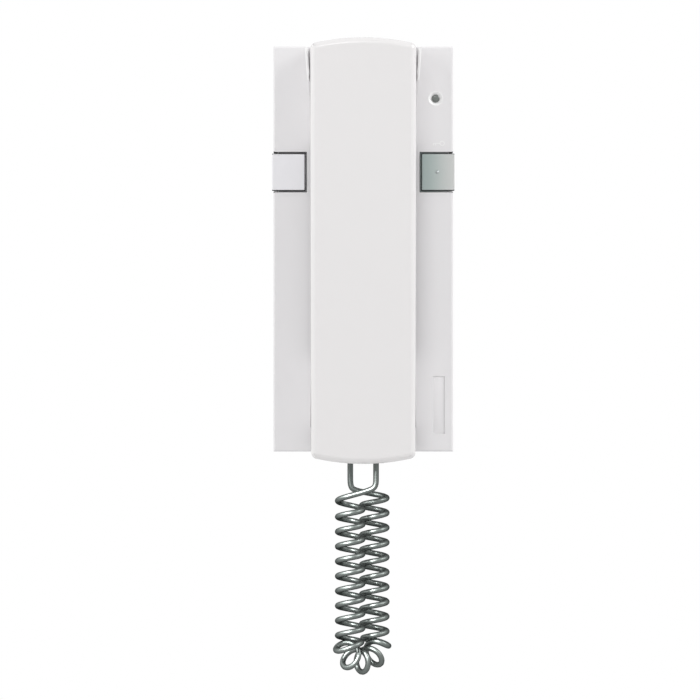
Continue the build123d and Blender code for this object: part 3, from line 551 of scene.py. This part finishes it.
softEdges = {
    "front_cover": {"width": 0.00035, "fromAngle": 40},
    # only the plate's outline, beyond this half width and half height
    "wall_plate": {"width": 0.00025, "fromAngle": 40, "outline": (0.0425, 0.0995)},
    # only the outside, in front of this depth, and nothing in the hollow
    "handset_front_shell": {"width": 0.0012, "fromAngle": 30, "infront": 0.0535},
    "handset_rear_shell": {"width": 0.0004, "fromAngle": 40},
    "left_button": {"width": 0.00022, "fromAngle": 30},
    "right_button": {"width": 0.00022, "fromAngle": 30},
    "volume_slider": {"width": 0.00015, "fromAngle": 40},
    "hook_lever": {"width": 0.0002, "fromAngle": 40},
}
handsetCrown = {
    "front": 0.0575,              # what lies in front of this depth is crowned
    "sides": 0.0266,
    "band": 0.0048,               # how wide the rounded band is on each side
    "fall": 0.0016,
    "cuts": (1, 0.85, 0.7, 0.55),  # where the band gets new edges, as shares of its width
}
buttonGap = {
    "inner": 0.0287,              # the opening in the wing: its inner side, foot and head
    "foot": 0.0289,
    "head": 0.0490,
    "back": 0.010,                # the depths between which the shade is painted
    "front": 0.0276,
    "rim": 0.0012,                # the faces with painted shade lie this close to the opening's sides
    "overlap": 0.0004,            # and this far past its foot and head
    "facing": 0.9,                # a face that looks more than this at the room keeps its own finish
}


def isSoftened(spot, soft):
    if "outline" in soft:
        halfWidth, halfHeight = soft["outline"]
        return abs(spot.x) > halfWidth or abs(spot.z) > halfHeight
    return "infront" not in soft or -spot.y > soft["infront"]


def crownFront(bm, crown):
    # the handset's flat front falls away softly towards its long sides
    for side in (-1, 1):
        for share in crown["cuts"]:
            cutAcross(bm, (1, 0, 0), (side * (crown["sides"] - crown["band"] * share), 0, 0))
    for vertex in bm.verts:
        over = (abs(vertex.co.x) - crown["sides"] + crown["band"]) / crown["band"]
        if -vertex.co.y > crown["front"] and over > 0:
            vertex.co.y += crown["fall"] * min(1, over) ** 2


def paintShadeInGaps(bm, gap):
    # painted shade: what faces the narrow gap round a push button gets the near-black finish that
    # stands in for the shade in the gap
    for face in bm.faces:
        spot = face.calc_center_median()
        across = abs(spot.x)
        inDepth = gap["back"] < -spot.y < gap["front"]
        inHeight = gap["foot"] - gap["overlap"] < spot.z < gap["head"] + gap["overlap"]
        atSide = across < gap["inner"] + gap["rim"]
        atEnd = spot.z < gap["foot"] + gap["rim"] or spot.z > gap["head"] - gap["rim"]
        inGap = inDepth and inHeight and (atSide or atEnd) and across > gap["inner"] - gap["rim"]
        if inGap and face.normal.y > -gap["facing"]:
            face.material_index = 1


def softenedCopy(name, soft):
    bm = bmesh.new()
    bm.from_mesh(nodes[name].data)
    bmesh.ops.remove_doubles(bm, verts=bm.verts, dist=0.000002)
    if "outline" not in soft:     # the plate isn't dissolved, as that closes its cable window
        bmesh.ops.dissolve_limit(bm, angle_limit=math.radians(1), verts=bm.verts, edges=bm.edges)
    least = math.radians(soft["fromAngle"])
    corners = [edge for edge in bm.edges if edge.is_manifold and edge.calc_face_angle(0) > least
               and all(isSoftened(vertex.co, soft) for vertex in edge.verts)]
    bmesh.ops.bevel(bm, geom=corners, offset=soft["width"], offset_type="OFFSET", segments=3,
                    profile=0.5, affect="EDGES", material=-1, clamp_overlap=False)
    if name == "handset_front_shell":
        crownFront(bm, handsetCrown)
    if name.endswith("button"):
        cutAcross(bm, (0, 1, 0), (0, -buttonGap["front"], 0))
    if name == "front_cover" or name.endswith("button"):
        paintShadeInGaps(bm, buttonGap)
    piece = newPiece(name + "_soft", finishMesh(bm, name + "_soft"), finishes[slotOfNode[name]])
    # the second slot holds the painted shade for the button gaps
    piece.data.materials.append(paintedGapShade)
    weighNormals(piece)
    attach(piece, bodyOfNode[name])
    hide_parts(name)


for nodeName, soft in softEdges.items():
    softenedCopy(nodeName, soft)
print("moulded pieces softened")

for nodeName, node in nodes.items():
    for place in node.material_slots:
        place.material = finishes[slotOfNode[nodeName]]
print("solids painted")


# small details

def turned(name, profile, detail, material, body):
    # a round piece about an axis towards the room, from a closed profile of (radius, depth)
    bm = bmesh.new()
    x, z = detail["centre"]
    verts = [bm.verts.new((x + radius, -depth, z)) for radius, depth in profile]
    edges = [bm.edges.new((one, two)) for one, two in zip(verts, verts[1:])]
    if min(radius for radius, depth in profile) > 0:
        edges.append(bm.edges.new((verts[-1], verts[0])))
    bmesh.ops.spin(bm, geom=verts + edges, cent=(x, 0, z), axis=(0, 1, 0), angle=2 * math.pi,
                   steps=detail["steps"], use_merge=True)
    bmesh.ops.remove_doubles(bm, verts=bm.verts, dist=0.000002)
    piece = newPiece(name, finishMesh(bm, name, sharpAngle=40), material)
    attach(piece, body)


lampWindow = {
    "centre": (0.0366, 0.0762),
    "steps": 48,
    "bezel": [(0.00193, 0.02568), (0.00193, 0.02588), (0.00345, 0.02703), (0.0036, 0.02709),
              (0.00375, 0.02705), (0.0038, 0.0269), (0.0035, 0.0268)],
    "dome": [(0, 0.0263), (0.00188, 0.0263), (0.00188, 0.02642), (0.0016, 0.02662),
             (0.001, 0.02675), (0, 0.0268)],
}
touchPip = {
    "centre": (0.03745, 0.03895),
    "steps": 24,
    "dot": [(0, 0.0275), (0.00085, 0.0275), (0.00085, 0.02772), (0.00072, 0.02792),
            (0.00045, 0.02812), (0, 0.0282)],
}
# the bezel's brighter white is a painted highlight on its cone
turned("lamp_bezel", lampWindow["bezel"], lampWindow, highlightWhite, "wall_unit")
turned("lamp_dome", lampWindow["dome"], lampWindow, finishes["lens_grey"], "wall_unit")
turned("touch_pip", touchPip["dot"], touchPip, pipSilver, "right_push")

troughLip = {
    "foot": 0.0775,               # heights: below the bend the lip is a plain strip
    "bend": 0.0855,
    "head": 0.1018,
    "steps": 24,
    "plainOver": 0.0005,          # the strip's own finish ends, and the painted highlight starts, this far above the bend
    "throat": 0.02698,            # half the trough's width at the foot
    "flare": 0.0021,              # how far the lip curves outwards at the head
    "band": 0.0012,
    "bandShare": 0.75,            # the lip's width: a share of the band and of the flare
    "flareShare": 0.2,
    "leastWidth": 0.0007,
    "wedge": 0.0019,              # what the least width gains from foot to head
    "tuck": 0.00012,
    "bandRise": 4,                # the band and the crest are full this soon past the bend
    "crestRise": 6,
    "face": 0.027,                # depths: the wing's face, the lip's crest and its bottom
    "proud": 0.00003,
    "crest": 0.02712,
    "bottom": 0.0195,
    "skirt": (0.0002, 0.0006),    # the outer side goes in under the wing's face
    "slope": 0.00018,
    "round": (0.00035, 0.00006, 0.0004),
}


def lipProfile(z, t):
    # the lip's outline at one height, as pairs of distance from the middle and depth
    up = min(1, max(0, (z - t["bend"]) / (t["head"] - t["bend"])))
    spread = math.sqrt(1 - (1 - up) ** 2)
    opened = max(0, t["flare"] * spread - t["band"] * min(1, up * t["bandRise"]))
    inner = t["throat"] + opened - t["tuck"] * (up <= 0)
    least = t["throat"] + t["leastWidth"] + t["wedge"] * (z - t["foot"]) / (t["head"] - t["foot"])
    width = t["band"] * t["bandShare"] + t["flare"] * t["flareShare"] * spread
    outer = max(inner + width, least)
    crest = t["face"] + t["proud"] + (t["crest"] - t["face"]) * min(1, up * t["crestRise"])
    skirtOut, skirtDown = t["skirt"]
    roundIn, roundTop, roundDown = t["round"]
    return [(outer + skirtOut, t["face"] - skirtDown), (outer, t["face"]),
            (outer - t["slope"], crest), (inner + roundIn, crest - roundTop),
            (inner, crest - roundDown), (inner, t["bottom"]), (outer + skirtOut, t["bottom"])]


def makeTroughLip(name, side, t):
    # the lip where the trough opens beside the handset's head; its white above the bend is a
    # painted highlight on its rounded edge
    bm = bmesh.new()
    loops = []
    for step in range(t["steps"] + 1):
        z = t["foot"] + (t["head"] - t["foot"]) * step / t["steps"]
        ring = [bm.verts.new((side * x, -depth, z)) for x, depth in lipProfile(z, t)]
        loops.append([bm.edges.new(pair) for pair in zip(ring, ring[1:] + ring[:1])])
    for low, high in zip(loops, loops[1:]):
        bmesh.ops.bridge_loops(bm, edges=low + high)
    for face in bm.faces:         # the plain strip has the wing's own finish, the rest the brighter white of the painted highlight
        top = max(vertex.co.z for vertex in face.verts)
        face.material_index = 1 if top < t["bend"] + t["plainOver"] else 0
    bmesh.ops.edgeloop_fill(bm, edges=loops[0] + loops[-1])
    piece = newPiece(name, finishMesh(bm, name, sharpAngle=50), highlightWhite)
    piece.data.materials.append(finishes["cover_plastic"])
    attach(piece, "wall_unit")


makeTroughLip("trough_lip_left", -1, troughLip)
makeTroughLip("trough_lip_right", 1, troughLip)

keySign = {
    "x": 0.0383,
    "z": 0.0535,
    "back": 0.0269,
    "front": 0.02712,
    "length": 0.006,
    "bowRadius": 0.00135,
    "bowHole": 0.00085,
    "shaft": 0.00045,
    "tooth": 0.0005,
    "toothDrop": 1.4,             # in widths of the shaft
    "toothHeight": 1.8,
}


def makeKeySign(key):
    # a plain key: a ring at the right, a shaft and two teeth, raised and in the brighter white of
    # a painted highlight on its strokes
    bm = bmesh.new()
    flat = Matrix.Rotation(math.radians(90), 4, "X")
    bowX = key["x"] + key["length"] / 2 - key["bowRadius"]
    bow = Matrix.Translation((bowX, -key["back"], key["z"])) @ flat
    rims = []
    for radius in (key["bowRadius"], key["bowHole"]):
        rims += bmesh.ops.create_circle(bm, segments=32, radius=radius, matrix=bow)["verts"]
    edges = list({edge for vertex in rims for edge in vertex.link_edges})
    bmesh.ops.bridge_loops(bm, edges=edges)
    left = key["x"] - key["length"] / 2
    bars = [(left, bowX - key["bowRadius"], 0, key["shaft"])]
    for start in (left, left + key["tooth"] * 2):
        bars.append((start, start + key["tooth"], -key["shaft"] * key["toothDrop"],
                     key["shaft"] * key["toothHeight"]))
    for start, end, drop, tall in bars:
        middle = Matrix.Translation(((start + end) / 2, -key["back"], key["z"] + drop))
        bar = middle @ flat @ Matrix.Diagonal((end - start, tall, 1, 1))
        bmesh.ops.create_grid(bm, x_segments=1, y_segments=1, size=0.5, matrix=bar)
    raised = bmesh.ops.extrude_face_region(bm, geom=bm.faces[:])["geom"]
    lifted = [item for item in raised if isinstance(item, bmesh.types.BMVert)]
    bmesh.ops.translate(bm, vec=(0, key["back"] - key["front"], 0), verts=lifted)
    piece = newPiece("key_sign", finishMesh(bm, "key_sign"), highlightWhite)
    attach(piece, "wall_unit")


barePlate = {
    "left": 0.03545,
    "right": 0.04095,
    "foot": -0.09345,
    "head": -0.06465,
    "back": 0.0264,
    "front": 0.02656,
    "edge": 0.00005,
}


def makeBarePlate(plate):
    # the plate in the recess, left bare
    bm = bmesh.new()
    middle = Vector(((plate["left"] + plate["right"]) / 2, -(plate["back"] + plate["front"]) / 2,
                     (plate["foot"] + plate["head"]) / 2))
    size = Matrix.Diagonal((plate["right"] - plate["left"], plate["front"] - plate["back"],
                            plate["head"] - plate["foot"], 1))
    bmesh.ops.create_cube(bm, size=1, matrix=Matrix.Translation(middle) @ size)
    bmesh.ops.bevel(bm, geom=bm.edges[:], offset=plate["edge"], segments=2, profile=0.5,
                    affect="EDGES", material=-1)
    piece = newPiece("bare_plate", finishMesh(bm, "bare_plate"), finishes["cover_plastic"])
    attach(piece, "wall_unit")


makeKeySign(keySign)
makeBarePlate(barePlate)
print("details made")


# floor, background and lights

studio = {
    "floorHeight": -0.42,
    "floorSize": 4,
    "floorTone": 0.86,
    "ambient": 0.45,
    "lamps": [
        {"name": "rightKey", "place": (1.33, -0.5, 0.95), "aim": (0, 0, -0.03),
         "size": 0.8, "power": 16},
        {"name": "leftFill", "place": (-1.35, -0.45, 0.65), "aim": (0, 0, -0.03),
         "size": 0.8, "power": 11},
        {"name": "front", "place": (-0.3, -1.7, 0.9), "aim": (0, 0, -0.1),
         "size": 0.6, "power": 5.5},
    ],
    # this one lights the cord alone, for the white sheen that the photo shows on it
    "cordLamp": {"name": "cordSheen", "place": (-0.75, -1.5, 0.8), "aim": (0, 0, -0.16),
                 "size": 1.1, "power": 170},
}


def seenDirectly(tree):
    # one for rays that show the background: from the camera, a gloss or a clear piece
    rays = tree.nodes.new("ShaderNodeLightPath").outputs
    shown = addMath(tree, "MAXIMUM", rays["Is Camera Ray"], rays["Is Glossy Ray"])
    return addMath(tree, "MAXIMUM", shown, rays["Is Transmission Ray"])


def addBackground(tree, strength):
    node = tree.nodes.new("ShaderNodeBackground")
    node.inputs["Color"].default_value = (1, 1, 1, 1)
    node.inputs["Strength"].default_value = strength
    return node.outputs[0]


def lightRoom(setup):
    world = bpy.data.worlds.new("studio")
    scene.world = world
    world.use_nodes = True
    tree = world.node_tree
    tree.nodes.clear()
    out = tree.nodes.new("ShaderNodeOutputWorld")
    mix = tree.nodes.new("ShaderNodeMixShader")
    feed(tree, mix.inputs[0], seenDirectly(tree))
    feed(tree, mix.inputs[1], addBackground(tree, setup["ambient"]))
    feed(tree, mix.inputs[2], addBackground(tree, 1))
    feed(tree, out.inputs["Surface"], mix.outputs[0])


def addLamp(lamp):
    data = bpy.data.lights.new(lamp["name"], "AREA")
    data.shape = "SQUARE"
    data.size = lamp["size"]
    data.energy = lamp["power"]
    light = bpy.data.objects.new(lamp["name"], data)
    light.location = lamp["place"]
    aim = Vector(lamp["aim"]) - Vector(lamp["place"])
    light.rotation_euler = aim.to_track_quat("-Z", "Y").to_euler()
    scene.collection.objects.link(light)
    return light


def lightCord(lamp):
    lit = bpy.data.collections.new("litCord")
    for piece in scene.objects:
        if piece.name.startswith("cord_"):
            lit.objects.link(piece)
    addLamp(lamp).light_linking.receiver_collection = lit


def layFloor(setup):
    bm = bmesh.new()
    bmesh.ops.create_grid(bm, x_segments=1, y_segments=1, size=setup["floorSize"] / 2,
                          matrix=Matrix.Translation((0, 0, setup["floorHeight"])))
    material = plastic("paleFloor", (setup["floorTone"],) * 3, roughness=0.8, mottle=0.01,
                       grainScale=40, grainHeight=0.0001)
    floor = newPiece("floor", finishMesh(bm, "floor"), material)


lightRoom(studio)
for lamp in studio["lamps"]:
    addLamp(lamp)
lightCord(studio["cordLamp"])
layFloor(studio)
scene.view_settings.view_transform = "Standard"
print("studio lit")
